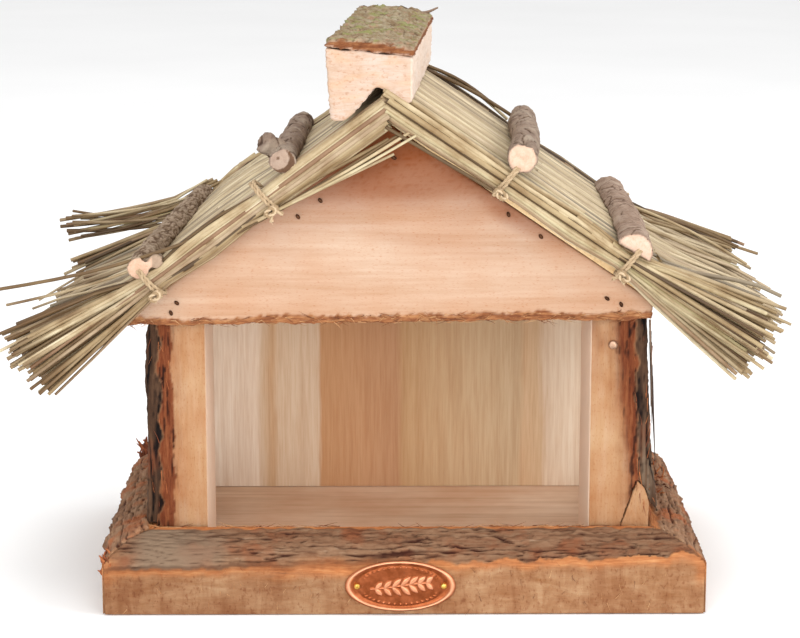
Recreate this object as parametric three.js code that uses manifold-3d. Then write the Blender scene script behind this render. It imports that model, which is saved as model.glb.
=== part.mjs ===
// A rustic thatched bird table: a bark-edged tray, two front posts, a boarded back wall,
// gabled reed roof tied down over branch sticks, and a notched ridge block.
// Millimetres, +Z up, front towards -Y, origin under the middle of the base.
import * as THREE from 'three';
import { mergeVertices } from 'three/addons/utils/BufferGeometryUtils.js';
import Module from 'manifold-3d';

const manifoldLibrary = await Module();
manifoldLibrary.setup();

// Driving dimensions
const gap = 0.3;
const baseWidth = 300;
const baseDepth = 200;
const railWidth = 26;
const railFaceHeight = 26;
const railLipHeight = 38;
const floorThickness = 19;
const postDepth = 60;
const postTop = 152;
const wallThickness = 8;
const wallTop = 148;
const wallBoardCount = 5;
const gableThickness = 7.5;
const gableLeft = [-136, 142];
const gableRight = [128, 145];
const roofDepth = 200;
const ridgeX = -2;
const ridgeZ = 242.5;
const ridgeLift = 13;
const ridgeSkew = 0.066;
const roofBoardThickness = 5;
const roofBoardLength = 175;
const thatchLength = 216;
const vergeWidth = 12;
const tieThickness = 2;
const tieWidth = 5.2;
const badgeWidth = 55;
const badgeHeight = 26;
const badgeThickness = 1.2;
const badgeCentre = [-2, 14.8];
const railNailRadius = 0.9;

// Each slope: its direction, its pitch, and its thatch above the boards' underside
const slopes = [
  { name: 'left', side: -1, pitch: THREE.MathUtils.degToRad(36.3), low: -3, high: 9, ties: [69, 139] },
  { name: 'right', side: 1, pitch: THREE.MathUtils.degToRad(34.1), low: 1, high: 15, ties: [64, 136] },
];
const [leftSlope, rightSlope] = slopes;

// Places worked out from them
const innerX = baseWidth / 2 - railWidth;
const innerY = baseDepth / 2 - railWidth;
const postFrontY = -innerY + 2;
const postBackY = postFrontY + postDepth;
const wallBackY = innerY - gap;
const wallFrontY = wallBackY - wallThickness;
const gableFrontY = postFrontY - gap - gableThickness;
const backGableY = innerY + gap;
const roofFrontY = -roofDepth / 2 + 3;
const roofBackY = roofFrontY + roofDepth;
const thatchFrontY = gableFrontY;
const thatchBackY = roofBackY - vergeWidth - tieThickness - 3 * gap;

const material = (color, roughness, metalness = 0) =>
  new THREE.MeshStandardMaterial({ color, roughness, metalness });
const sawnWood = material(0xd9a878, 0.8);
const paleWood = material(0xe8cdb0, 0.8);
const barkWood = material(0x8d7462, 0.95);
const reed = material(0xbda97c, 0.9);
const jute = material(0xc2a57e, 1);
const nailSteel = material(0x3a302a, 0.5, 0.8);
const brass = material(0xc9a34e, 0.35, 1);

const bird_table = new THREE.Group();

const addPiece = (name, geometry, pieceMaterial) => {
  const mesh = new THREE.Mesh(geometry, pieceMaterial);
  mesh.name = name;
  bird_table.add(mesh);
  return mesh;
};

// Extrudes an outline drawn in X and Z along Y, from one Y to another.
const slab = (points, fromY, toY) => {
  const outline = new THREE.Shape(points.map(([x, z]) => new THREE.Vector2(x, z)));
  const geometry = new THREE.ExtrudeGeometry(outline, { depth: toY - fromY, bevelEnabled: false });
  geometry.rotateX(Math.PI / 2);
  geometry.translate(0, toY, 0);
  return geometry;
};

const toManifold = (geometry) => {
  const bare = geometry.clone();
  bare.deleteAttribute('normal');
  bare.deleteAttribute('uv');
  const welded = mergeVertices(bare, 1e-4);
  return new manifoldLibrary.Manifold(new manifoldLibrary.Mesh({
    numProp: 3,
    vertProperties: Float32Array.from(welded.attributes.position.array),
    triVerts: Uint32Array.from(welded.index.array),
  }));
};

const toGeometry = (solid) => {
  const { vertProperties, triVerts } = solid.getMesh();
  const geometry = new THREE.BufferGeometry();
  geometry.setAttribute('position', new THREE.BufferAttribute(vertProperties, 3));
  geometry.setIndex(new THREE.BufferAttribute(triVerts, 1));
  geometry.computeVertexNormals();
  return geometry;
};

// The ridge runs a little askew, further left at the front than at the back.
const skewRidge = (geometry) => {
  const shear = new THREE.Matrix4();
  shear.elements[4] = ridgeSkew;
  geometry.applyMatrix4(shear);
  return geometry;
};

// A point on a roof slope: how far down the slope, and how far above the boards' underside.
const slopePoint = ({ side, pitch }, along, lift) => [
  ridgeX + side * (along * Math.cos(pitch) + lift * Math.sin(pitch)),
  ridgeZ - along * Math.sin(pitch) + lift * Math.cos(pitch),
];

// The point at a given lift where a slope meets the upright plane through the ridge.
const ridgePoint = ({ side, pitch }, lift) => [ridgeX + side * gap, ridgeZ + lift / Math.cos(pitch)];

// A nail driven towards +Y or -Y, standing on the face it holds: head, shank and point.
const addNail = (name, place, facing, headRadius, length, nailMaterial) => {
  const shankRadius = headRadius * 0.45;
  const geometry = new THREE.LatheGeometry([
    new THREE.Vector2(0, -length),
    new THREE.Vector2(shankRadius, -length + 1),
    new THREE.Vector2(shankRadius, gap),
    new THREE.Vector2(headRadius, gap),
    new THREE.Vector2(headRadius * 0.8, headRadius * 0.6),
    new THREE.Vector2(0, headRadius * 0.8),
  ], 8);
  const nail = addPiece(name, geometry, nailMaterial);
  nail.position.set(...place);
  nail.rotation.x = facing > 0 ? Math.PI : 0;
};

const drillAlongY = (solid, [x, y, z], radius, depth) => {
  const drill = new THREE.CylinderGeometry(radius, radius, 2 * depth, 8);
  drill.translate(x, y, z);
  return solid.subtract(toManifold(drill));
};

// Floor board
const floorWidth = 2 * (innerX - gap);
const floorDepth = 2 * (innerY - gap);
const floorGeometry = new THREE.BoxGeometry(floorWidth, floorDepth, floorThickness);
addPiece('floor_board', floorGeometry, material(0xc7a98c, 0.8)).position.z = floorThickness / 2;

// Bark-edged rails, mitred at the corners
const railSection = [
  [0, 0], [railWidth, 0], [railWidth, railFaceHeight], [21, 31], [14, 35],
  [7, railLipHeight - 0.7], [2, railLipHeight], [0, railLipHeight - 0.5],
];

const mitredRail = (halfInner, offset) => {
  const geometry = slab(railSection, -1, 1);
  const position = geometry.attributes.position;
  for (let i = 0; i < position.count; i += 1) {
    const outward = position.getX(i);
    const end = Math.sign(position.getY(i));
    position.setX(i, end * (halfInner + outward - gap / Math.SQRT2));
    position.setY(i, -(offset + outward));
  }
  geometry.computeVertexNormals();
  return geometry;
};

// The badge's nails go through the badge into the front rail.
const badgeNailReach = badgeWidth / 2 - 6;
const badgeBackY = -baseDepth / 2 - gap;
const badgeNails = [-1, 1].map((end) => [badgeCentre[0] + end * badgeNailReach, badgeCentre[1]]);

const drilledFrontRail = () => {
  let rail = toManifold(mitredRail(innerX, innerY));
  for (const [x, z] of badgeNails) {
    rail = drillAlongY(rail, [x, -baseDepth / 2, z], railNailRadius, 7);
  }
  return toGeometry(rail);
};

addPiece('rail_front', drilledFrontRail(), barkWood);
addPiece('rail_right', mitredRail(innerY, innerX), barkWood).rotation.z = Math.PI / 2;
addPiece('rail_back', mitredRail(innerX, innerY), barkWood).rotation.z = Math.PI;
addPiece('rail_left', mitredRail(innerY, innerX), barkWood).rotation.z = -Math.PI / 2;

// Oval badge with a raised rim
const ovalShape = (halfWidth, halfHeight) => {
  const oval = new THREE.Shape();
  oval.absellipse(0, 0, halfWidth, halfHeight, 0, 2 * Math.PI);
  return oval;
};

const ovalPlate = (inset, thickness) => {
  const outline = ovalShape(badgeWidth / 2 - inset, badgeHeight / 2 - inset);
  const geometry = new THREE.ExtrudeGeometry(outline, {
    depth: thickness, bevelEnabled: false, curveSegments: 28,
  });
  geometry.rotateX(Math.PI / 2);
  geometry.translate(badgeCentre[0], badgeBackY, badgeCentre[1]);
  return toManifold(geometry);
};

const rimWidth = 2.2;
const badgeFaceThickness = 0.7;
const recess = ovalPlate(rimWidth, 5).subtract(ovalPlate(rimWidth / 2, badgeFaceThickness));
let badge = ovalPlate(0, badgeThickness).subtract(recess);
for (const [i, [x, z]] of badgeNails.entries()) {
  badge = drillAlongY(badge, [x, badgeBackY, z], railNailRadius, 5);
  const faceY = badgeBackY - badgeFaceThickness;
  addNail(`badge_nail_${i + 1}`, [x, faceY, z], 1, 1.6, 6, brass);
}
addPiece('badge', toGeometry(badge), material(0xc98a62, 0.35, 0.9));

// Front posts: half-round slabs with their bark facing outwards
const postFoot = floorThickness + gap;
const barkFoot = railLipHeight + 1;
const postInnerX = innerX - gap;
const leftPost = [
  [-99, postFoot], [-99, postTop], [-118, postTop], [-127, postTop - 7], [-129, 120], [-128, 80],
  [-129.5, barkFoot], [-postInnerX, barkFoot], [-postInnerX, postFoot],
];
addPiece('post_front_left', slab(leftPost, postFrontY, postBackY), sawnWood);

// The right post is split at its foot, and a wedge is let into the split.
const splitX = 109.6;
const splitZ = 38.2;
const rightPost = [
  [93, postFoot], [splitX, postFoot], [splitX, splitZ], [117.7, 61.4], [121.8, 57.2],
  [postInnerX + 0.6, 50.5], [128, 44], [126, 62], [123, 90], [121.5, 120], [121, postTop - 7],
  [115, postTop], [93, postTop],
];
const postNail = [104, postFrontY, 131];
const drilledPost = drillAlongY(toManifold(slab(rightPost, postFrontY, postBackY)), postNail, 1.3, 14);
addPiece('post_front_right', toGeometry(drilledPost), sawnWood);
addNail('post_nail', postNail, 1, 2.3, 12, nailSteel);

const wedge = [
  [splitX + gap, postFoot], [postInnerX, postFoot], [postInnerX, 50], [121.6, 56.6], [117.85, 60.8],
  [splitX + gap, splitZ],
];
addPiece('post_wedge', slab(wedge, postFrontY, postBackY), paleWood);

// Back wall: upright boards standing on the floor
const wallColours = [0xcdb398, 0xc2a284, 0xd2b898, 0xc79c6a, 0xd8bfa2];
const wallBoardWidth = (floorWidth - (wallBoardCount - 1) * gap) / wallBoardCount;
for (let i = 0; i < wallBoardCount; i += 1) {
  const geometry = new THREE.BoxGeometry(wallBoardWidth, wallThickness, wallTop - postFoot);
  const board = addPiece(`wall_board_${i + 1}`, geometry, material(wallColours[i], 0.8));
  const x = -floorWidth / 2 + wallBoardWidth / 2 + i * (wallBoardWidth + gap);
  board.position.set(x, (wallFrontY + wallBackY) / 2, (wallTop + postFoot) / 2);
}

// Gable boards under the roof boards, with holes for their brads, placed by X and Z
const underRoof = ([x], slope) => {
  const run = Math.abs(x - ridgeX);
  return [x, ridgeZ - run * Math.tan(slope.pitch) - gap / Math.cos(slope.pitch)];
};
const gableOutline = [
  gableLeft, gableRight, underRoof(gableRight, rightSlope),
  underRoof([ridgeX], leftSlope), underRoof(gableLeft, leftSlope),
];
const frontBrads = [
  [-112, 154], [-115, 149], [-52, 197], [-41, 205], [-5, 226], [-1, 234.5], [51, 198], [67, 187],
  [100, 156], [107, 153],
];
const backBrads = [[-102, 155], [-40, 203], [46, 205], [103, 158]];

const nailedGable = (name, fromY, brads, facing) => {
  let board = toManifold(skewRidge(slab(gableOutline, fromY, fromY + gableThickness)));
  const faceY = facing > 0 ? fromY : fromY + gableThickness;
  for (const [i, [x, z]] of brads.entries()) {
    board = drillAlongY(board, [x, faceY, z], 0.9, gableThickness + 1);
    addNail(`${name}_brad_${i + 1}`, [x, faceY, z], facing, 1.4, gableThickness - 1, nailSteel);
  }
  addPiece(name, toGeometry(board), paleWood);
};
nailedGable('gable_front', gableFrontY, frontBrads, 1);
nailedGable('gable_back', backGableY, backBrads, -1);

// Thatch over each slope, thicker at the eave where it fans out
const thatchOutline = (slope) => {
  const low = roofBoardThickness + gap;
  return [
    ridgePoint(slope, low),
    slopePoint(slope, roofBoardLength + 2, low),
    slopePoint(slope, thatchLength + 1, -5),
    slopePoint(slope, thatchLength - 5, 30),
    slopePoint(slope, 160, slope.high),
    slopePoint(slope, 32, slope.high + (ridgeLift - slope.high) / 2),
    ridgePoint(slope, ridgeLift),
  ];
};

// The bundle at each end of the roof narrows under its ties and fans out at the eave.
const vergeOutline = (slope) => {
  const { low, high } = slope;
  const flat = tieWidth / 2 + 1;
  const tieStretch = (tie, lift) => [
    slopePoint(slope, tie - flat, lift),
    slopePoint(slope, tie + flat, lift),
  ];
  return [
    ridgePoint(slope, ridgeLift),
    slopePoint(slope, 32, high + (ridgeLift - high) / 2),
    ...tieStretch(slope.ties[0], high - 2),
    slopePoint(slope, 105, high),
    ...tieStretch(slope.ties[1], high - 2),
    slopePoint(slope, 180, 20),
    slopePoint(slope, thatchLength - 4, 32),
    slopePoint(slope, thatchLength + 3, -8),
    slopePoint(slope, 180, low - 2),
    ...tieStretch(slope.ties[1], low + 1.5).reverse(),
    slopePoint(slope, 105, low),
    ...tieStretch(slope.ties[0], low + 1.5).reverse(),
    ridgePoint(slope, low),
  ];
};

// A twine tie: two turns of cord round a bundle, as a rounded band.
const roundedRectangle = (Path, halfWidth, halfHeight, radius) => {
  const path = new Path();
  const corners = [[1, 1], [-1, 1], [-1, -1], [1, -1]];
  for (const [i, [alongX, alongY]] of corners.entries()) {
    const start = i * Math.PI / 2;
    const centreX = alongX * (halfWidth - radius);
    const centreY = alongY * (halfHeight - radius);
    path.absarc(centreX, centreY, radius, start, start + Math.PI / 2);
  }
  return path;
};

const twineTie = (slope, along, centreY) => {
  const low = slope.low + 1.5;
  const high = slope.high - 2;
  const halfWidth = vergeWidth / 2 + gap;
  const halfHeight = (high - low) / 2 + gap;
  const band = roundedRectangle(
    THREE.Shape, halfWidth + tieThickness, halfHeight + tieThickness, tieThickness,
  );
  band.holes.push(roundedRectangle(THREE.Path, halfWidth, halfHeight, 0.2));
  const geometry = new THREE.ExtrudeGeometry(band, {
    depth: tieWidth, bevelEnabled: false, curveSegments: 4,
  });
  geometry.translate(0, 0, -tieWidth / 2);
  const across = new THREE.Vector3(0, 1, 0);
  const up = new THREE.Vector3(slope.side * Math.sin(slope.pitch), 0, Math.cos(slope.pitch));
  const down = new THREE.Vector3().crossVectors(across, up);
  geometry.applyMatrix4(new THREE.Matrix4().makeBasis(across, up, down));
  const [x, z] = slopePoint(slope, along, (high + low) / 2);
  geometry.translate(x, centreY, z);
  return skewRidge(geometry);
};

const verges = [
  ['front', roofFrontY, roofFrontY + vergeWidth],
  ['back', roofBackY - vergeWidth, roofBackY],
];
for (const slope of slopes) {
  const boardOutline = [
    ridgePoint(slope, 0),
    slopePoint(slope, roofBoardLength, 0),
    slopePoint(slope, roofBoardLength, roofBoardThickness),
    ridgePoint(slope, roofBoardThickness),
  ];
  const board = skewRidge(slab(boardOutline, thatchFrontY, thatchBackY));
  addPiece(`roof_board_${slope.name}`, board, paleWood);
  const mat = skewRidge(slab(thatchOutline(slope), thatchFrontY, thatchBackY));
  addPiece(`thatch_${slope.name}`, mat, reed);
  for (const [end, fromY, toY] of verges) {
    const bundle = skewRidge(slab(vergeOutline(slope), fromY, toY));
    addPiece(`verge_${end}_${slope.name}`, bundle, reed);
    for (const [i, along] of slope.ties.entries()) {
      const level = i === 0 ? 'upper' : 'lower';
      const tie = twineTie(slope, along, (fromY + toY) / 2);
      addPiece(`tie_${end}_${slope.name}_${level}`, tie, jute);
    }
  }
}

// Branch sticks laid across the thatch: [down the slope, Y, extra lift] along each
const stickEnd = roofDepth / 2 - 5;
const stickClearance = 1.9;
const stickPath = (slope, radius, points) => {
  const base = slope.high + stickClearance + radius;
  return new THREE.CatmullRomCurve3(points.map(([along, y, lift]) => {
    const [x, z] = slopePoint(slope, along, base + lift);
    return new THREE.Vector3(x, y, z);
  }));
};

const roundStick = (slope, radius, points) => {
  const section = new THREE.Shape();
  section.absarc(0, 0, radius, 0, 2 * Math.PI);
  return skewRidge(new THREE.ExtrudeGeometry(section, {
    extrudePath: stickPath(slope, radius, points), steps: 8, curveSegments: 10,
  }));
};

const stickLeftLower = [[138, -stickEnd, 0], [138, -30, 1], [133, 40, 1.5], [129, stickEnd, 2]];
const stickLeftUpper = [[50, -stickEnd, 0], [54, -30, 0.6], [58, 40, 0.6], [61, stickEnd, 0.6]];
const stickRightUpper = [[62, -stickEnd, 0.3], [63, -20, 0.8], [62, 40, 0.5], [62, stickEnd, 0.3]];
addPiece('stick_left_lower', roundStick(leftSlope, 5.5, stickLeftLower), barkWood);
addPiece('stick_left_upper', roundStick(leftSlope, 6, stickLeftUpper), barkWood);
addPiece('stick_right_upper', roundStick(rightSlope, 7, stickRightUpper), barkWood);

// The lower right stick is split in half, lying on its flat face.
const splitStickRadius = 9;
const splitStickFront = 133;
const splitStickSkew = 0.045;
const splitStickOutline = [];
for (let i = 0; i <= 8; i += 1) {
  const angle = i * Math.PI / 8;
  const along = splitStickFront + splitStickRadius * Math.cos(angle);
  const lift = rightSlope.high + stickClearance + splitStickRadius * Math.sin(angle);
  splitStickOutline.push(slopePoint(rightSlope, along, lift));
}
const splitStick = slab(splitStickOutline.reverse(), -stickEnd, stickEnd - 12);
const upSlopeX = -splitStickSkew * Math.cos(rightSlope.pitch);
const upSlopeZ = splitStickSkew * Math.sin(rightSlope.pitch);
splitStick.applyMatrix4(new THREE.Matrix4().set(
  1, upSlopeX, 0, upSlopeX * stickEnd, 0, 1, 0, 0, 0, upSlopeZ, 1, upSlopeZ * stickEnd, 0, 0, 0, 1,
));
addPiece('stick_right_lower', skewRidge(splitStick), barkWood);

// Notched block saddling the ridge, with its bark left on top
const blockOutline = [
  [-31.7, 281], [-29.5, 247], [-25, 245.8], [-20.5, 247], [-7, 262.5], [7.5, 253.8], [9.8, 254.5],
  [10.3, 276.3],
];
addPiece('ridge_block', skewRidge(slab(blockOutline, roofFrontY + 1, roofBackY - 1)), paleWood);
const blockBark = [
  [-32.4, 281.5], [10.7, 276.7], [10.4, 280], [0, 282.8], [-15, 284.9], [-30, 285],
];
const barkTop = skewRidge(slab(blockBark, roofFrontY + 1.5, roofBackY - 1.5));
addPiece('ridge_block_bark', barkTop, barkWood);

export default bird_table;
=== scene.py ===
import math
import random

import bpy
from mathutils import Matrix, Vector, noise


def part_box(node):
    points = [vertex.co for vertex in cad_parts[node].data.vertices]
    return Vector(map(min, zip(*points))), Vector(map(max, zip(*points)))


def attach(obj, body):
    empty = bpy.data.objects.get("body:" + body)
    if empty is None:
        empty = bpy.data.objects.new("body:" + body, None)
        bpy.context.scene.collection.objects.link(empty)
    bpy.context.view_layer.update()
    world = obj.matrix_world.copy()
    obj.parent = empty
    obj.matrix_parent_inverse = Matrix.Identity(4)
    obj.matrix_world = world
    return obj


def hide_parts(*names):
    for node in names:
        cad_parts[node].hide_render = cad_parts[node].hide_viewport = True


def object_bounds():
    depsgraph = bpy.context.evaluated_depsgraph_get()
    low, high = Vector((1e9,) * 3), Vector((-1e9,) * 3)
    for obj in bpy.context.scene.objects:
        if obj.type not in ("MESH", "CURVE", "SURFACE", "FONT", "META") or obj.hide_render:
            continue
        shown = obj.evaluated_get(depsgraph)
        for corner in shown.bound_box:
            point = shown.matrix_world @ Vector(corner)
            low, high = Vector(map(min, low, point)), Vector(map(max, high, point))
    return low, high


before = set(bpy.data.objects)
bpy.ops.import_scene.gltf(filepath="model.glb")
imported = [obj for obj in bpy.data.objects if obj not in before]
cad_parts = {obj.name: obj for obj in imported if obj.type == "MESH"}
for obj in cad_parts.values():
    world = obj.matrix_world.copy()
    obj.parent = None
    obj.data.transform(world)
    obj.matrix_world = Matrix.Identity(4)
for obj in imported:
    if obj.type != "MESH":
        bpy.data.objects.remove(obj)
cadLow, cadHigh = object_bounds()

mm = 0.001


def say(stage):
    print("bird table:", stage)


def linearColour(hexColour):
    channels = [int(hexColour[i:i + 2], 16) / 255 for i in (1, 3, 5)]
    bright = [c / 12.92 if c <= 0.04045 else ((c + 0.055) / 1.055) ** 2.4 for c in channels]
    return (*bright, 1.0)


def perMetre(sizeMm):
    return 1000 / sizeMm


def smoothStep(low, high, value):
    # 0 at low and 1 at high, also where high is the smaller
    t = min(1.0, max(0.0, (value - low) / (high - low)))
    return t * t * (3 - 2 * t)


def blendValue(a, b, t):
    return a + (b - a) * t


def noiseAt(*place):
    # smooth noise, from about -1 to 1
    return noise.noise(Vector(place))


def raggedAt(place, roughness=0.8, octaves=4, gap=2.0):
    # noise with finer and finer detail laid over it
    return noise.fractal(Vector(place), roughness, gap, octaves)


def pickOnly(piece):
    for item in list(bpy.context.selected_objects):
        item.select_set(False)
    piece.select_set(True)
    bpy.context.view_layer.objects.active = piece


def applyModifier(piece, kind, **settings):
    modifier = piece.modifiers.new(kind.lower(), kind)
    for name, value in settings.items():
        setattr(modifier, name, value)
    pickOnly(piece)
    bpy.ops.object.modifier_apply(modifier=modifier.name)


def boxMm(nodeName):
    # lowest and highest corner of a node in mm
    return [[value / mm for value in corner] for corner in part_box(nodeName)]


def editMesh(operation, **settings):
    # runs one mesh operation on every part of the active piece
    bpy.ops.object.mode_set(mode="EDIT")
    bpy.ops.mesh.select_all(action="SELECT")
    operation(**settings)
    bpy.ops.object.mode_set(mode="OBJECT")


def nodeCopy(nodeName, pieceName):
    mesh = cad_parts[nodeName].data.copy()
    piece = bpy.data.objects.new(pieceName, mesh)
    bpy.context.collection.objects.link(piece)
    piece.data.materials.clear()
    pickOnly(piece)
    editMesh(bpy.ops.mesh.remove_doubles, threshold=0.00001)
    return piece


def voxelSkin(piece, voxelMm, smoothing=2):
    # an even skin of small squares, fine enough to carve
    applyModifier(piece, "REMESH", mode="VOXEL", voxel_size=voxelMm * mm)
    if smoothing:
        applyModifier(piece, "SMOOTH", factor=0.5, iterations=smoothing)


def carve(piece, shapeAt):
    # moves each vertex along its normal, and keeps what shapeAt says about the place as attributes
    mesh = piece.data
    marks = {}
    moved = []
    for vertex in mesh.vertices:
        normal = vertex.normal.copy()
        lift, traits = shapeAt(vertex.co / mm, normal)
        offset = lift if isinstance(lift, Vector) else normal * lift
        moved.append(vertex.co + offset * mm)
        for name, value in traits.items():
            marks.setdefault(name, []).append(value)
    for vertex, place in zip(mesh.vertices, moved):
        vertex.co = place
    for name, values in marks.items():
        mesh.attributes.new(name, "FLOAT", "POINT").data.foreach_set("value", values)
    mesh.update()


def finishPiece(piece, material, slot, *nodes, smooth=True):
    # gives a piece its material, and says which body it rides on and which nodes it stands for
    piece.data.materials.clear()
    piece.data.materials.append(material)
    if smooth:
        pickOnly(piece)
        bpy.ops.object.shade_smooth()
    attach(piece, "root")
    if nodes:
        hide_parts(*nodes)
    return piece


def strandMesh(name, strands, sides=1):
    # each strand is a list of (place, radius); all strands of a piece are one mesh
    curve = bpy.data.curves.new(name, "CURVE")
    curve.dimensions = "3D"
    curve.bevel_depth = 1.0
    curve.bevel_resolution = sides
    curve.use_fill_caps = True
    for strand in strands:
        spline = curve.splines.new("POLY")
        spline.points.add(len(strand) - 1)
        for point, (place, radius) in zip(spline.points, strand):
            point.co = (*place, 1)
            point.radius = radius
    piece = bpy.data.objects.new(name, curve)
    bpy.context.collection.objects.link(piece)
    pickOnly(piece)
    bpy.ops.object.convert(target="MESH")
    return bpy.context.view_layer.objects.active


def addNode(tree, kind, inputs=None, stops=None, output=0, **settings):
    # adds one node with its settings and links, and gives the output to carry on with
    node = tree.nodes.new("ShaderNode" + kind)
    for name, value in settings.items():
        setattr(node, name, value)
    if stops:
        ramp = node.color_ramp
        while len(ramp.elements) < len(stops):
            ramp.elements.new(0.5)
        for element, (position, colour) in zip(ramp.elements, stops):
            element.position = position
            element.color = linearColour(colour)
    for name, value in (inputs or {}).items():
        if isinstance(value, bpy.types.NodeSocket):
            tree.links.new(value, node.inputs[name])
        else:
            node.inputs[name].default_value = value
    return node.outputs[output] if node.outputs else node


def newMaterial(name):
    material = bpy.data.materials.new(name)
    material.use_nodes = True
    material.node_tree.nodes.clear()
    return material, material.node_tree


def shadeWith(material, inputs):
    # gives a material its shader: sockets are linked, plain numbers set
    surface = addNode(material.node_tree, "BsdfPrincipled", inputs)
    addNode(material.node_tree, "OutputMaterial", {"Surface": surface})
    return material


def stretchedNoise(tree, sizesMm, detail=4.0, roughness=0.55, shift=0.0, distortion=0.0):
    # noise whose blotches measure sizesMm along X, Y and Z
    place = addNode(tree, "TexCoord", output="Object")
    placed = addNode(tree, "Mapping", {
        "Vector": place, "Scale": [perMetre(size) for size in sizesMm],
        "Location": (shift, shift * 0.7, shift * 1.3)})
    return addNode(tree, "TexNoise", {"Vector": placed, "Scale": 1.0, "Detail": detail,
                                      "Roughness": roughness, "Distortion": distortion})


def multiplied(tree, share, colour, pattern, stops):
    # darkens a colour by the tones that a pattern picks from stops
    tones = addNode(tree, "ValToRGB", {"Fac": markOrSocket(tree, pattern)}, stops)
    return addNode(tree, "Mix", {0: share, 6: colour, 7: tones}, output=2, data_type="RGBA",
                   blend_type="MULTIPLY")


def sums(tree, *terms):
    # adds up terms, each a socket or a mark and its weight
    parts = [addNode(tree, "Math", {0: markOrSocket(tree, term), 1: weight}, operation="MULTIPLY")
             for term, weight in terms]
    total = parts[0]
    for part in parts[1:]:
        total = addNode(tree, "Math", {0: total, 1: part}, operation="ADD")
    return total


def markOrSocket(tree, value):
    # a plain word names what carving said about a place: bark, crack, inner and so on
    if isinstance(value, str):
        return addNode(tree, "Attribute", output="Fac", attribute_name=value)
    return value


def covered(tree, colour, covers):
    # lays flat or patterned colours over a colour, each as far as its share reaches
    for share, cover in covers:
        cover = linearColour(cover) if isinstance(cover, str) else cover
        colour = addNode(tree, "Mix", {0: markOrSocket(tree, share), 6: colour, 7: cover}, output=2,
                         data_type="RGBA")
    return colour


def woodLayers(tree, look):
    # growth bands, fine fibre, pores and saw marks of a softwood face; gives its colour and height
    along, across = look["grainMm"]
    sizes = [across, across, across]
    sizes["XYZ".index(look["axis"])] = along
    shift = look["shift"]
    bands = stretchedNoise(tree, sizes, 3.0, 0.5, shift, look.get("wander", 0.6))
    fibres = stretchedNoise(tree, [size * 0.22 for size in sizes], 5.0, 0.65, shift + 3)
    colour = addNode(tree, "ValToRGB", {"Fac": sums(tree, (bands, 0.62), (fibres, 0.38))}, look["stops"])
    blotches = stretchedNoise(tree, [look.get("blotchMm", 45)] * 3, 3.0, 0.6, shift + 7)
    colour = multiplied(tree, look.get("tintShare", 0.6), colour, blotches,
                        ((0.35, look["tint"]), (0.7, "#ffffff")))
    height = sums(tree, (bands, 0.5), (fibres, 0.5))
    if "poresMm" in look:
        pores = stretchedNoise(tree, look["poresMm"], 2.0, 0.5, shift + 15)
        colour = multiplied(tree, 0.5, colour, pores, ((0.3, look["poreDark"]), (0.42, "#ffffff")))
    if "sawMm" in look:
        saw = stretchedNoise(tree, look["sawMm"], 4.0, 0.65, shift + 11, 0.9)
        colour = multiplied(tree, look["sawShare"], colour, saw,
                            ((0.38, look["sawDark"]), (0.58, "#ffffff")))
        height = sums(tree, (height, 0.5), (saw, 0.9))
    return colour, height


def mattInputs(tree, colour, height, depthMm, rough, roughFrom=None):
    # a dry surface: bumps depthMm deep, rougher where it stands proud
    return {"Base Color": colour,
            "Roughness": addNode(tree, "MapRange", {
                "Value": roughFrom or height, "To Min": rough[0], "To Max": rough[1]}),
            "Normal": addNode(tree, "Bump", {"Height": height, "Distance": depthMm * mm})}


def sawnWood(name, look):
    # sawn softwood: a dry matt face with soft bands and fine fibre
    material, tree = newMaterial(name)
    colour, height = woodLayers(tree, look)
    # pale cream #f4e3d4 over the marked side face is painted light
    covers = [("paintedLitSide", "#f4e3d4")]
    if "stained" in look:
        covers.append(("stain", look["stained"]))
    if "waney" in look:
        torn = stretchedNoise(tree, (9, 2, 1.2), 4.0, 0.7)
        covers.append(("inner", addNode(tree, "ValToRGB", {"Fac": torn}, look["waney"])))
    colour = covered(tree, colour, covers)
    return shadeWith(material, {**mattInputs(tree, colour, height, look["bumpMm"], (0.68, 0.9)),
                                "IOR": 1.5, "Specular IOR Level": 0.3})


def barkedWood(name, wood, bark):
    # a slab or branch: sawn face, fibrous orange bast and furrowed outer bark, told apart by marks
    material, tree = newMaterial(name)
    colour, height = woodLayers(tree, wood)
    bastNoise = stretchedNoise(tree, bark["bastMm"], 5.0, 0.7, 5)
    bast = addNode(tree, "ValToRGB", {"Fac": bastNoise}, bark["bastStops"])
    plates = stretchedNoise(tree, bark["plateMm"], 4.0, 0.6, 1)
    crust = stretchedNoise(tree, bark["crustMm"], 6.0, 0.75, 9)
    outer = addNode(tree, "ValToRGB", {"Fac": sums(tree, (plates, 0.55), (crust, 0.45))}, bark["stops"])
    redness = stretchedNoise(tree, [bark["patchMm"]] * 3, 2.0, 0.5, 17)
    patches = addNode(tree, "ValToRGB", {"Fac": redness}, ((0.52, "#000000"), (0.66, "#ffffff")))
    outer = covered(tree, outer, [(sums(tree, (patches, bark["patchShare"])), bark["patch"]),
                                  (sums(tree, ("pale", 0.7)), "#7f6d5a")])
    # the pale cream #ecd0b8 on the marked side of a post is painted light
    colour = covered(tree, colour, [("inner", bast), ("paintedLitSide", "#ecd0b8"), ("bark", outer)])
    # darker in the bark's cracks; on the rails this also lays painted shade along the bark's lower edge
    colour = multiplied(tree, 1.0, colour, "crack", ((0.15, "#ffffff"), (0.85, bark["crack"])))
    relief = sums(tree, (height, 0.35), (crust, 1.0), (bastNoise, 0.4))
    return shadeWith(material, {**mattInputs(tree, colour, relief, bark["bumpMm"], (0.75, 0.98), crust),
                                "Specular IOR Level": 0.25})


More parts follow.
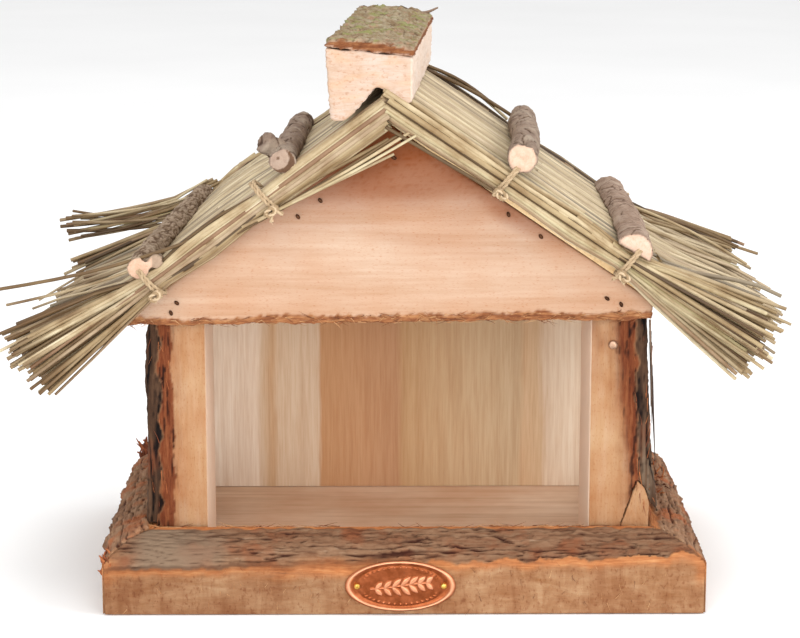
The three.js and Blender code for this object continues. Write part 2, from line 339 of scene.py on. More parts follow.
# Sawn pine rail with its bark: orange-brown, with upright saw streaks on the face
railBark = {
    "bastMm": (14, 14, 1.4), "bastStops": ((0.25, "#7f4727"), (0.5, "#b57040"), (0.75, "#d39863")),
    "plateMm": (40, 3.5, 3.5), "crustMm": (9, 1.6, 1.6), "patchMm": 18, "patchShare": 0.75,
    # crack: colour of the bark's cracks, also used for the painted shade under the bark's edge
    "patch": "#7f4628", "crack": "#7c5743", "bumpMm": 0.6,
    "stops": ((0.25, "#4b2f1f"), (0.42, "#704c35"), (0.58, "#86664d"), (0.78, "#a58f79")),
}
railWood = {
    "axis": "X", "grainMm": (34, 9), "shift": 2.0, "bumpMm": 0.3, "tint": "#d3b49e", "tintShare": 0.7,
    "stops": ((0.3, "#8f633e"), (0.5, "#a17b59"), (0.72, "#b49472")), "blotchMm": 30, "wander": 1.5,
    "sawMm": (6, 6, 26), "sawDark": "#cfae92", "sawShare": 0.45,
    "poresMm": (1.2, 1.2, 2.0), "poreDark": "#c08d6a",
}
railMaterial = barkedWood("sawn pine slab with bark", railWood, railBark)
# the same pine on the side rails, which run front to back: lighter bark with more rust in it
sideRailMaterial = barkedWood("sawn pine slab with bark, side", {**railWood, "axis": "Y"}, {
    **railBark, "patch": "#a55f38", "patchShare": 0.85, "bastMm": (1.6, 12, 3), "plateMm": (3.5, 40, 3.5),
    "crustMm": (1.6, 9, 1.6),
    "stops": ((0.25, "#5b3b28"), (0.42, "#876046"), (0.58, "#9e7a5d"), (0.78, "#bda58c"))})

# Slab post: paler sawn face with the grain upright, stringy bark
postBark = {
    "bastMm": (1.6, 1.6, 18), "bastStops": ((0.25, "#451908"), (0.5, "#6c351a"), (0.78, "#8e5633")),
    "plateMm": (5, 5, 30), "crustMm": (1.8, 1.8, 8), "patchMm": 22, "patchShare": 0.7,
    "patch": "#6f3a20", "crack": "#4a2f20", "bumpMm": 0.6,
    "stops": ((0.25, "#25150c"), (0.45, "#3f291a"), (0.62, "#59402e"), (0.8, "#76614d")),
}
postWood = {
    "axis": "Z", "grainMm": (80, 6), "shift": 5.0, "bumpMm": 0.3, "tint": "#dba777", "tintShare": 0.6,
    "stops": ((0.3, "#a27751"), (0.5, "#af8a66"), (0.75, "#b99a7d")), "blotchMm": 30,
    "poresMm": (0.8, 0.8, 1.6), "poreDark": "#dcb58f",
}
postMaterial = barkedWood("sawn larch slab with stringy bark", postWood, postBark)

# Pale sawn spruce of the gable boards: pinkish, with long level grain
gableMaterial = sawnWood("sawn spruce, pink", {
    "axis": "X", "grainMm": (130, 7), "shift": 1.0, "bumpMm": 0.15, "tint": "#edc6a2",
    "stops": ((0.25, "#ab8a6e"), (0.5, "#baa08b"), (0.75, "#c3af9c")), "blotchMm": 70,
    "poresMm": (1.8, 1.8, 0.5), "poreDark": "#e6bc9c", "stained": "#783a0e",
    "waney": ((0.25, "#4f2610"), (0.45, "#7f4a29"), (0.6, "#9d6a41"), (0.8, "#bd8f64")),
})
# Planed pine: smooth and even, pale tan with fine lines from side to side
floorMaterial = sawnWood("planed pine floor", {
    "axis": "X", "grainMm": (110, 5), "shift": 9.0, "bumpMm": 0.1, "tint": "#e3c6ae",
    "stops": ((0.3, "#cfae92"), (0.5, "#e3c6ac"), (0.75, "#f0d8c4")),
})
# Rough sawn pine block: chalky pale pink, furred by the saw
blockMaterial = sawnWood("rough sawn pine block", {
    "axis": "Y", "grainMm": (60, 9), "shift": 3.0, "bumpMm": 0.35, "tint": "#f6dcc0",
    "stops": ((0.2, "#b29a84"), (0.5, "#bdab9e"), (0.8, "#c2b4aa")), "tintShare": 0.5,
    "sawMm": (9, 30, 1.6), "sawDark": "#eccfb0", "sawShare": 0.35, "stained": "#c99a6c",
    "poresMm": (1.8, 3, 1.2), "poreDark": "#dcb08c",
})
# Thin birch ply: a clean pale yellow edge under the reeds
roofBoardMaterial = sawnWood("thin birch ply", {
    "axis": "Y", "grainMm": (70, 3), "shift": 6.0, "bumpMm": 0.1, "tint": "#ddc29a",
    "stops": ((0.3, "#c9a877"), (0.5, "#e2c79c"), (0.8, "#efdcb8")),
})

# Branch bark: grey-brown, scaly, lichen on some
stickBark = {
    "bastMm": (3, 3, 3), "bastStops": ((0.3, "#8d5f3f"), (0.7, "#b98b62")),
    "plateMm": (6, 12, 6), "crustMm": (2.2, 3, 2.2), "patchMm": 14, "patchShare": 0.5,
    "patch": "#a09281", "crack": "#957f6d", "bumpMm": 0.4,
    "stops": ((0.28, "#5c493b"), (0.45, "#7b6759"), (0.6, "#907d6c"), (0.8, "#a99989")),
}
# Cut ends of the branches: pale cream wood, a little pink, with a fine matt face
cutWood = {
    "axis": "Y", "grainMm": (9, 3), "shift": 4.0, "bumpMm": 0.15, "tint": "#f0dccb",
    "stops": ((0.25, "#b7957e"), (0.5, "#cdb19d"), (0.8, "#dcc5b4")),
}
stickMaterial = barkedWood("hazel branch bark", cutWood, stickBark)
# scaly and finely broken, with pale flakes over brown
darkStickMaterial = barkedWood("scaly pine branch bark", cutWood, {
    **stickBark, "patchShare": 0.4, "patch": "#a4937e", "crack": "#a08c78", "crustMm": (1.6, 1.6, 1.6),
    "stops": ((0.28, "#6b5745"), (0.45, "#87735f"), (0.62, "#9f8b77"), (0.82, "#c0ac96")),
})
# smoother and browner, with pale rings across it
brownStickMaterial = barkedWood("cherry branch bark", cutWood, {
    **stickBark, "plateMm": (7, 4.5, 7), "patchShare": 0.3, "patch": "#b8a695",
    "stops": ((0.28, "#685143"), (0.45, "#856d5c"), (0.6, "#998372"), (0.82, "#b09e90")),
})
# thick crumbling bark: dull green moss on grey plates, red-brown where it has broken
mossMaterial = barkedWood("pine bark with moss", cutWood, {
    **stickBark, "plateMm": (7, 9, 6), "crustMm": (1.8, 2.6, 1.8), "patchMm": 10, "patchShare": 0.7,
    "patch": "#7f8547", "crack": "#7d5538", "bumpMm": 0.7,
    "bastMm": (5, 5, 1.2), "bastStops": ((0.25, "#532a14"), (0.5, "#7c4a2b"), (0.75, "#a0714a")),
    "stops": ((0.28, "#553c29"), (0.44, "#80694c"), (0.58, "#978a70"), (0.78, "#b5ac9a")),
})
say("wood and bark materials made")


def reedMaterialOf(name, paintedLight):
    # dried water reed: each stem its own straw tone, with darker streaks and a faint lengthwise shine; the
    # darkest stems also paint the shade in the gaps between the reeds
    material, tree = newMaterial(name)
    stem = addNode(tree, "NewGeometry", output="Random Per Island")
    colour = addNode(tree, "ValToRGB", {"Fac": stem}, (
        (0.0, "#3f2c16"), (0.16, "#6c5535"), (0.25, "#a18c68"), (0.42, "#8e7856"), (0.55, "#b9a785"),
        (0.68, "#a49273"), (0.8, "#85664c"), (0.9, "#cabc9d"), (1.0, "#938659")))
    mottle = stretchedNoise(tree, (16, 3, 16), 4.0, 0.6)
    colour = multiplied(tree, 0.75, colour, mottle, ((0.32, "#b49a74"), (0.62, "#ffffff")))
    # the cream share is painted light on the open slopes' reeds; the brown at the tips is weathering
    colour = covered(tree, colour, [(paintedLight, "#efe0c2"), ("tip", "#5a3f20")])
    streaks = stretchedNoise(tree, (12, 0.7, 12), 3.0, 0.5, 4)
    return shadeWith(material, {**mattInputs(tree, colour, streaks, 0.2, (0.45, 0.7), mottle),
                                "Specular IOR Level": 0.4})


def fibreMaterialOf(name, *stops):
    # loose torn fibre: each hair its own tone
    material, tree = newMaterial(name)
    hair = addNode(tree, "NewGeometry", output="Random Per Island")
    grit = stretchedNoise(tree, (2, 2, 2), 3.0)
    return shadeWith(material, {
        "Base Color": addNode(tree, "ValToRGB", {"Fac": hair}, stops), "Roughness": 0.85,
        "Normal": addNode(tree, "Bump", {"Height": grit, "Distance": 0.1 * mm})})


# reeds in the bundles keep their browns, and those of the open slopes are mixed paler as painted light
reedMaterial = reedMaterialOf("dried water reed", 0.0)
paintedLightReedMaterial = reedMaterialOf("water reed with painted light", 0.22)
# spun jute: dull tan and hairy, with no shine
juteMaterial = fibreMaterialOf("jute twine", (0.0, "#8f7656"), (0.5, "#a58d6e"), (1.0, "#bba485"))
# inner bark torn by the saw: rust to straw, and darker where whole flakes have split off
bastFibreMaterial = fibreMaterialOf("torn bast fibre", (0.0, "#5a2b12"), (0.4, "#8f5630"),
                                    (0.7, "#ad7a4c"), (1.0, "#c99d70"))
darkBastMaterial = fibreMaterialOf("split bast flakes", (0.0, "#4d210c"), (0.5, "#8a4520"),
                                   (1.0, "#b06a3a"))
# splinters and curls of dry outer bark: dark grey-brown
barkFibreMaterial = fibreMaterialOf("bark splinter", (0.0, "#33231a"), (0.5, "#5d4636"),
                                    (1.0, "#8a725f"))


def metalOf(name, darkHex, lightHex, roughness):
    # metal with rubbed bright and dulled dark patches
    material, tree = newMaterial(name)
    wear = stretchedNoise(tree, (3, 3, 3), 5.0, 0.65)
    colour = addNode(tree, "ValToRGB", {"Fac": wear}, ((0.35, darkHex), (0.65, lightHex)))
    spread = (roughness - 0.08, roughness + 0.12)
    return shadeWith(material, {**mattInputs(tree, colour, wear, 0.05, spread), "Metallic": 1.0})


# brass glints warm yellow, old steel is nearly black, and zinc is dull and takes the wood's tone
brassMaterial = metalOf("brass pin", "#a8782f", "#e8c46a", 0.3)
steelMaterial = metalOf("darkened wire nail", "#2a1a12", "#5a3c2a", 0.5)
dullNailMaterial = metalOf("dull galvanised nail", "#7a5c48", "#d0ae94", 0.55)
say("reed, twine and metal materials made")


def barkRelief(along, across, look, seed):
    # height in mm and how deep in a crack a place is, for furrows that run with the trunk
    bend = noiseAt(along / 40, across / 30, seed) * 1.4
    u = along / look["longMm"] + bend * 0.25
    v = across / look["wideMm"] + bend
    cell = noiseAt(u, v, seed + 3)
    second = noiseAt(u * 1.9 + 7, v * 2.1, seed + 9)
    furrow = max(0.0, 1 - abs(cell) / look["furrow"])
    branchFurrow = max(0.0, 1 - abs(second) / (look["furrow"] * 0.7)) * 0.6
    crack = min(1.0, furrow + branchFurrow)
    rough = raggedAt((along / 7, across / 4, seed + 21), gap=2.1)
    swell = noiseAt(along / 55, across / 25, seed + 31)
    height = look["liftMm"] * (0.45 + 0.5 * swell) + look["roughMm"] * rough - look["crackMm"] * crack
    return height, crack


say("frame loaded, size " + ", ".join(f"{(high - low) / mm:.0f}" for low, high in zip(cadLow, cadHigh)))


# edge: how high the sawn face reaches, at the front rail's two ends and on the other rails
railLook = {"voxelMm": 1.0, "longMm": 58, "wideMm": 3.8, "furrow": 0.1, "liftMm": 1.6, "roughMm": 1.1,
            "crackMm": 1.4, "edgeLeft": 23.0, "edgeRight": 29.0, "edgeOther": 26.0, "browned": 0.27,
            "leftRaiseMm": 2.4, "bastMm": 6.5, "lipMm": 5.0}


def makeRail(side, seed):
    piece = nodeCopy("rail_" + side, "rail_" + side + "_wood")
    voxelSkin(piece, railLook["voxelMm"], 2)
    axis = 1 if side in ("front", "back") else 0
    sign = -1 if side in ("front", "left") else 1
    low, high = boxMm("rail_" + side)
    inner = high[axis] if sign < 0 else low[axis]
    depth = high[axis] - low[axis]
    halfLength = max(abs(low[1 - axis]), abs(high[1 - axis]))

    def shapeAt(co, normal):
        out = (co[axis] - inner) * sign
        along = co[1 - axis]
        facing = normal[axis] * sign
        if side == "front":
            share = (along + halfLength) / halfLength / 2
            edge = blendValue(railLook["edgeLeft"], railLook["edgeRight"], share)
        else:
            edge = railLook["edgeOther"]
        edge += noiseAt(along / 11, seed, 0) * 2.6 + noiseAt(along / 3, seed, 5) * 0.9
        lip = railLook["lipMm"] + noiseAt(along / 8, seed, 9) * 2.0
        outside = smoothStep(lip - 0.8, lip + 0.8, out)
        bark = smoothStep(edge - 0.6, edge + 0.8, co.z) * outside
        bast = max(smoothStep(edge - railLook["bastMm"], edge - 0.8, co.z) * 0.8, 1 - outside)
        bast *= smoothStep(edge - 7, edge - 1.5, co.z) * (1 - bark)
        corner = smoothStep(halfLength - 9, halfLength - 2, abs(along) + 3 * noise.noise(co / 6))
        if corner > 0:
            bast = max(bast, corner * 0.7 * smoothStep(10, 24, co.z))
            bark *= 1 - 0.75 * corner
        height, crack = barkRelief(along, co.z * 0.8 - out, railLook, seed)
        pale = browned = 0.0
        if side == "front":
            # paler bark by the left end, an orange patch left of the middle, a browner left half
            pale = 1 - smoothStep(-112, -84, along + 12 * noise.noise(co / 12))
            pale *= smoothStep(-140, -128, along)
            ember = math.exp(-((along + 30) / 45) ** 2) * (1 - smoothStep(edge, edge + 4.5, co.z))
            ember *= smoothStep(edge - 9, edge - 3, co.z)
            if facing > 0.5 and co.z < edge:
                browned = railLook["browned"] * (1 - smoothStep(-60, 25, along + 20 * noise.noise(co / 15)))
            bast = max(bast, ember * 0.9)
            bark *= 1 - 0.8 * ember
        height *= 1 - 0.55 * pale
        crack *= 1 - 0.5 * pale
        # painted shade: a darker band along the bark's lower edge, stronger on the left half
        barkEdgeShade = smoothStep(edge - 4, edge - 0.5, co.z) * (1 - smoothStep(edge + 1, edge + 3, co.z))
        barkEdgeShade *= 0.5 if along < 0 else 0.25
        if side == "left":
            height += railLook["leftRaiseMm"]
        fade = 1 - 0.85 * smoothStep(halfLength - (10 if axis == 1 else 32), halfLength - 2, abs(along))
        lift = bark * height * fade
        if facing < -0.5 or normal.z < -0.5:
            bark = bast = lift = barkEdgeShade = browned = 0.0
        if 26 < co.z < edge and facing > 0.2:
            lift += (depth - out) * 0.7
        crack = max(crack * bark, barkEdgeShade, browned)
        return lift, {"bark": bark, "crack": crack, "inner": bast, "pale": pale}

    carve(piece, shapeAt)
    material = railMaterial if axis == 1 else sideRailMaterial
    return finishPiece(piece, material, "rail_slab_wood", "rail_" + side)


for seed, side in enumerate(("front", "right", "back", "left")):
    makeRail(side, seed * 13.7 + 2.1)
say("rails carved")


boardLook = {"bevelMm": 0.5, "wallBevelMm": 0.15, "wallWidenMm": 0.3, "roofBevelMm": 0.3}


def plainBoard(nodeName, pieceName, material, slot, bevelMm, widenMm=0.0):
    piece = nodeCopy(nodeName, pieceName)
    low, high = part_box(nodeName)
    middle = (low[0] + high[0]) / 2
    for vertex in piece.data.vertices:  # closes the working gap beside a board
        vertex.co.x += widenMm * mm * (1 if vertex.co.x > middle else -1)
    editMesh(bpy.ops.mesh.dissolve_limited, angle_limit=0.01)
    applyModifier(piece, "BEVEL", width=bevelMm * mm, segments=2, limit_method="ANGLE", angle_limit=0.6)
    return finishPiece(piece, material, slot, nodeName, smooth=False)


# tones of the five boards from left to right, with the dark lines between them
wallTones = ((0.0, "#f4e4d2"), (0.19, "#ead8c4"), (0.2, "#dcc5aa"), (0.222, "#cba883"), (0.235, "#d8c1a6"),
             (0.325, "#cfb89f"), (0.335, "#bc9068"), (0.505, "#b38a68"), (0.52, "#b8966f"),
             (0.775, "#c9b292"), (0.79, "#cfb08d"), (0.825, "#d2b694"), (0.84, "#e2cfb8"), (1.0, "#ecdac4"))


def wallMaterialOf():
    # upright sawn boards, each with its own tone, joined without a gap
    material, tree = newMaterial("sawn pine wall boards")
    place = addNode(tree, "TexCoord", output="Object")
    low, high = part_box("wall_board_1")[0][0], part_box("wall_board_5")[1][0]
    share = addNode(tree, "MapRange", {"Value": addNode(tree, "SeparateXYZ", {"Vector": place}),
                                       "From Min": low, "From Max": high})
    share = sums(tree, (share, 1.0), (stretchedNoise(tree, (6, 6, 60), 3.0, 0.6, 2), 0.03))
    colour = addNode(tree, "ValToRGB", {"Fac": share}, wallTones)
    rings = stretchedNoise(tree, (5, 5, 140), 4.0, 0.55, 6, 0.8)
    colour = multiplied(tree, 0.34, colour, rings,
                        ((0.35, "#dcc4ae"), (0.52, "#f6ece3"), (0.7, "#ffffff")))
    fibres = stretchedNoise(tree, (0.9, 0.9, 22), 4.0, 0.6, 8)
    colour = multiplied(tree, 0.5, colour, fibres, ((0.35, "#e8d8c8"), (0.6, "#ffffff")))
    knotPlace = addNode(tree, "Mapping", {
        "Vector": place, "Scale": (perMetre(48), perMetre(48), perMetre(60))})
    knots = addNode(tree, "TexVoronoi", {"Vector": knotPlace, "Scale": 1.0}, distance="EUCLIDEAN")
    colour = multiplied(tree, 0.8, colour, knots, ((0.02, "#7a4a2a"), (0.05, "#ffffff")))
    relief = sums(tree, (rings, 0.6), (fibres, 0.4))
    return shadeWith(material, {**mattInputs(tree, colour, relief, 0.12, (0.65, 0.85), fibres),
                                "Specular IOR Level": 0.3})


wallMaterial = wallMaterialOf()
for number in range(1, 6):
    plainBoard(f"wall_board_{number}", f"wall_plank_{number}", wallMaterial, "wall_wood",
               boardLook["wallBevelMm"], boardLook["wallWidenMm"])
plainBoard("floor_board", "floor_plank", floorMaterial, "floor_wood", boardLook["bevelMm"])
for side in ("left", "right"):
    plainBoard("roof_board_" + side, "roof_sheet_" + side, roofBoardMaterial, "roof_board",
               boardLook["roofBevelMm"])
say("floor, wall and roof boards made")


# sawn: how far out from the middle of the house the sawn face reaches, bast: the band beside it
postLook = {"voxelMm": 0.9, "longMm": 70, "wideMm": 3.6, "furrow": 0.2, "liftMm": 0.9, "roughMm": 0.55,
            "crackMm": 1.8, "sawnLeft": 115.5, "sawnRightTop": 105.0, "sawnRightFoot": 115.5,
            "bastMm": 6.5, "bastRightShares": (0.55, 1.6), "wedgeVoxelMm": 0.6, "wedgeRoughMm": 0.35}


def makePost(side, seed):
    nodeName = "post_front_" + side
    piece = nodeCopy(nodeName, "post_" + side + "_wood")
    voxelSkin(piece, postLook["voxelMm"], 1)
    sign = -1 if side == "left" else 1
    footZ, topZ = (corner[2] for corner in boxMm(nodeName))

    def shapeAt(co, normal):
        out = co.x * sign
        rise = smoothStep(footZ, topZ, co.z)
        if side == "left":
            edge, bastWidth = postLook["sawnLeft"], postLook["bastMm"]
        else:
            edge = blendValue(postLook["sawnRightFoot"], postLook["sawnRightTop"], rise)
            bastWidth = postLook["bastMm"] * blendValue(*postLook["bastRightShares"], rise)
        edge += noiseAt(co.z / 14, seed, 0) * 1.6 + noiseAt(co.z / 2.5, seed, 4) * 0.8
        barkEdge = edge + bastWidth + noiseAt(co.z / 9, seed, 8) * 2.2
        bark = smoothStep(barkEdge - 0.6, barkEdge + 0.8, out)
        feather = 0.5 if side == "left" else 4.5 + 2 * noiseAt(co.z / 6, out / 4, seed)
        bast = smoothStep(edge - feather, edge + feather * 0.8, out) * (1 - bark)
        height, crack = barkRelief(co.z, co.y * 0.9 + out * 0.7, postLook, seed)
        if abs(normal.z) > 0.7:
            return 0.0, {"bark": bark, "crack": 0.0, "inner": bast, "paintedLitSide": 0.0, "pale": 0.0}
        shreds = raggedAt((out / 1.6, co.y / 2.2, co.z / 16 + seed), 0.7)
        lift = bark * height + bast * (shreds * 1.3 - 0.3)
        browned = 0.4 * math.exp(-(max(0.0, edge - out) / 5) ** 2)
        pale = 0.0
        if side == "right":
            browned = max(browned, 0.5 * smoothStep(98, 150, co.z + 6 * noise.noise(co / 7)))
            strands = noiseAt(out / 1.2, co.y / 1.5, co.z / 30)
            pale = 0.75 * smoothStep(112, 66, co.z + 10 * noise.noise(co / 9))
            pale *= smoothStep(-0.25, 0.2, strands)
        bast = max(bast, browned * (1 - bark) * (0.7 + 0.6 * noiseAt(out / 3, co.y / 3, co.z / 8)))
        crack = max(crack * bark, bast * smoothStep(0.1, 0.6, -shreds) * 0.8)
        # the post's inward-facing side gets the lit-side share: painted light on a face the lamps leave dark
        return lift, {"bark": bark, "crack": crack, "inner": bast, "pale": pale,
                      "paintedLitSide": smoothStep(0.6, 0.9, -normal.x * sign)}

    carve(piece, shapeAt)
    return finishPiece(piece, postMaterial, "post_slab_wood", nodeName)


makePost("left", 31.3)
makePost("right", 57.9)
wedge = nodeCopy("post_wedge", "foot_wedge")
voxelSkin(wedge, postLook["wedgeVoxelMm"], 2)
carve(wedge, lambda co, normal: (
    postLook["wedgeRoughMm"] * raggedAt((co.x / 2, co.y / 6, co.z / 9), octaves=3), {"stain": 0.0}))
finishPiece(wedge, postMaterial, "pale_sawn_wood", "post_wedge")
say("posts carved")


# torn: height of the bark edge left along the foot of the board, stain: how high the brown begins
gableLook = {"voxelMm": 1.0, "tornMm": 4.6, "tornRoughMm": 0.9, "footLeft": 142.0, "footRight": 145.0,
             "stainFrom": 170, "stainTo": 232}


def gableFoot(share):
    # height of the board's lower edge, which rises a little from left to right
    return blendValue(gableLook["footLeft"], gableLook["footRight"], share)


def makeGable(side, seed):
    nodeName = "gable_" + side
    piece = nodeCopy(nodeName, nodeName + "_wood")
    voxelSkin(piece, gableLook["voxelMm"], 2)
    low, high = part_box(nodeName)
    left, right = low / mm, high / mm
    facing = -1 if side == "front" else 1

    def shapeAt(co, normal):
        above = co.z - gableFoot((co.x - left[0]) / (right[0] - left[0]))
        tear = gableLook["tornMm"] + 1.8 * noiseAt(co.x / 13, seed, 1)
        tear += 1.4 * noiseAt(co.x / 2.4, seed, 6)
        bast = 1 - smoothStep(tear - 1.0, tear + 0.6, above)
        ragged = raggedAt((co.x / 9, co.y / 3, co.z / 1.6 + seed))
        lift = bast * (gableLook["tornRoughMm"] * ragged - 0.5)
        if normal.z < -0.5:
            lift += 0.6 * noiseAt(co.x / 16, seed, 2) + 0.55 * noiseAt(co.x / 2.2, co.y / 3, seed)
        wander = noiseAt(co.x / 34, co.z / 12, seed + 4)
        slopeTop = high[2] / mm - 3 - abs(co.x + 2) * 0.7
        rim = 1 - smoothStep(3, 16, slopeTop - co.z + wander * 5)
        stain = smoothStep(gableLook["stainFrom"], gableLook["stainTo"], co.z + 12 * wander) ** 1.3
        if co.x > 0:
            stain = max(stain, rim * 0.75 * smoothStep(170, 200, co.z))
        specks = smoothStep(0.1, 0.7, raggedAt((co.x / 3.5, 0, co.z / 1.1 + seed), 0.6))
        stain = min(1.0, stain * (0.95 + 0.1 * specks))
        if normal.y * facing > 0.7:
            lift -= 0.3 * specks * stain
        return lift, {"inner": bast, "stain": stain}

    carve(piece, shapeAt)
    return finishPiece(piece, gableMaterial, "gable_wood", nodeName)


makeGable("front", 12.4)
makeGable("back", 44.6)
say("gables carved")


blockLook = {"voxelMm": 1.1, "roughMm": 0.5, "capVoxelMm": 1.0, "brokenMm": 2.4}


def makeRidgeBlock():
    piece = nodeCopy("ridge_block", "ridge_block_wood")
    voxelSkin(piece, blockLook["voxelMm"], 6)

    def shapeAt(co, normal):
        saw = raggedAt((co.x / 8, co.y / 20, co.z / 1.3))
        worn = noise.noise(co / 9) * 0.8
        stain = smoothStep(0.25, 0.75, noiseAt(co.x / 9, co.y / 9, co.z / 3) + 0.25)
        # the down-facing faces at the block's foot are mixed darker
        edge = smoothStep(262, 252, co.z) * smoothStep(0.3, 0.9, -normal.z)
        # the right-hand side face gets the lit-side share, mixed paler: painted light
        return blockLook["roughMm"] * saw + worn * 0.5, {
            "stain": min(1, stain * 0.2 + edge * 0.4), "paintedLitSide": 0.45 * smoothStep(0.4, 0.8, normal.x)}

    carve(piece, shapeAt)
    finishPiece(piece, blockMaterial, "pale_sawn_wood", "ridge_block")


def makeRidgeBark():
    piece = nodeCopy("ridge_block_bark", "ridge_bark")
    voxelSkin(piece, blockLook["capVoxelMm"], 3)
    look = {"longMm": 13, "wideMm": 4.5, "furrow": 0.07, "liftMm": 0.9, "roughMm": 1.3, "crackMm": 0.9}
    frontY = boxMm("ridge_block_bark")[0][1]

    def shapeAt(co, normal):
        height, crack = barkRelief(co.y, co.x, look, 71.0)
        up = smoothStep(0.25, 0.65, normal.z)
        bast = (1 - up) * (1.0 if normal.z > -0.5 else 0.3)
        rust = raggedAt((co.x / 6, co.y / 6, 4.0), octaves=3)
        reach = max(smoothStep(15, 1, co.y - frontY), 0.75 * smoothStep(0.25, 0.5, rust))
        rust = smoothStep(-0.25, 0.35, rust) * reach
        chips = raggedAt((co.x / 3, co.y / 3, co.z / 1.2))
        broken = blockLook["brokenMm"] * smoothStep(0.2, 0.8, -normal.x)
        broken *= smoothStep(frontY + 15, frontY + 70, co.y)
        return up * (height - 0.8 * rust) + (1 - up) * chips * 0.9 - broken, {
            "bark": up * (1 - 0.85 * rust), "crack": crack * up * 0.75, "inner": max(bast, rust)}

    carve(piece, shapeAt)
    finishPiece(piece, mossMaterial, "mossy_bark", "ridge_block_bark")


makeRidgeBlock()
makeRidgeBark()
say("ridge block carved")


# low and high: bottom and top of the thatch above the boards' underside, mat: the same for its loose
# reeds, core: middle of the verge bundles, fan: how far they open upwards at the eaves
roof = {
    "skew": 0.066, "boardMm": 5.0, "reachMm": 213.0, "sinkMm": 4.2, "sinkFrom": -40, "sinkTo": 95,
    "swellMm": 5.8, "swellFrom": -70, "swellTo": 80, "swellDown": (64, 142),
    "left": {"sign": -1, "pitch": math.radians(36.3), "high": 9.0, "mat": (5.5, 10.5), "core": 4.5,
             "ties": (69.0, 139.0), "fan": 3.5, "tip": 1.0},
    "right": {"sign": 1, "pitch": math.radians(34.1), "high": 15.0, "mat": (3.0, 15.0), "core": 8.5,
              "ties": (64.0, 136.0), "fan": 3, "tip": 0.4},
}
# lobe: depth of the notch in the cut end, pith: 1 for a hollow heart, stub: how far aside, back and
# up a side stub starts, its radius and its two turns, bend: how much the branch wanders
sticks = {
    "left_lower": {"material": darkStickMaterial, "long": 6, "wide": 2.6, "furrow": 0.2, "crack": 0.45,
                   "lobe": 3.4, "pith": 0.0, "seed": 5.0, "stub": (8, 8, 2.5, 3.2, 1.5, 0), "bend": 1.2},
    "left_upper": {"material": stickMaterial, "long": 22, "wide": 9, "furrow": 0.07, "crack": 0.4,
                   "lobe": 0.0, "pith": 1.0, "seed": 9.0, "stub": (-5, 21, 4.0, 5.5, 0.5, -0.95),
                   "bend": 2.0},
    "right_upper": {"material": stickMaterial, "long": 20, "wide": 8, "furrow": 0.08, "crack": 0.5,
                    "lobe": 4.2, "pith": 0.0, "seed": 15.0, "stub": None, "bend": 1.2},
    "right_lower": {"material": brownStickMaterial, "long": 18, "wide": 9, "furrow": 0.05, "crack": 0.3,
                    "lobe": 0.0, "pith": 0.0, "seed": 21.0, "stub": None, "bend": 0.6},
}
stickLook = {"voxelMm": 0.8, "liftMm": 0.7, "roughMm": 0.6, "stubMm": 15, "shorterMm": 9}


def stickAt(piece, y):
    # the middle of the branch at one distance back
    near = [vertex.co / mm for vertex in piece.data.vertices if abs(vertex.co.y / mm - y) < 16]
    return sum(near, Vector()) / len(near)


def sunk(y):
    # how far the right-hand slope has settled, so far back
    return roof["sinkMm"] * smoothStep(roof["sinkFrom"], roof["sinkTo"], y)


def settled(name, y):
    # the right-hand branches sink with the thinner thatch at the back
    if "right" not in name:
        return Vector()
    pitch = roof["right"]["pitch"]
    shorter = -stickLook["shorterMm"] * smoothStep(30, 97, y) if "upper" in name else 0
    return Vector((math.sin(pitch) * -sunk(y), shorter, math.cos(pitch) * -sunk(y)))


